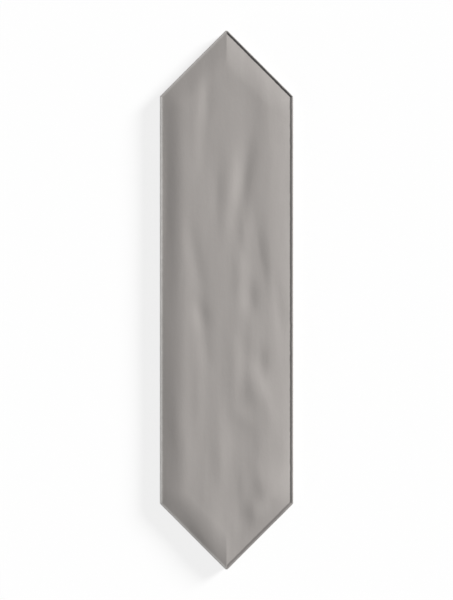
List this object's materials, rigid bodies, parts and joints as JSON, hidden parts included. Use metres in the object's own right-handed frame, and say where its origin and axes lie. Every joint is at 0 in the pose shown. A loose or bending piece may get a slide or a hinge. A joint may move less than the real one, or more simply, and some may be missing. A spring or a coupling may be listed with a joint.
{
  "type": "picket wall tile",
  "caption": "Long glazed ceramic wall tile with a right-angled point at each end, a softly waved cushion face with rounded edges, and a back with square pockets that key into adhesive",
  "frame": {"origin": "The middle of the back, on the plane of the keying ribs, where the tile lies on the floor or meets the adhesive.", "axes": "+Y runs along the tile from point to point, +X across it, and +Z out of the glazed face. The tile lies flat, face up."},
  "size_m": [0.075, 0.303, 0.01],
  "materials": {
    "glaze": "satin"
  },
  "bodies": {
    "root": {"tile": "glaze"}
  },
  "joints": []
}
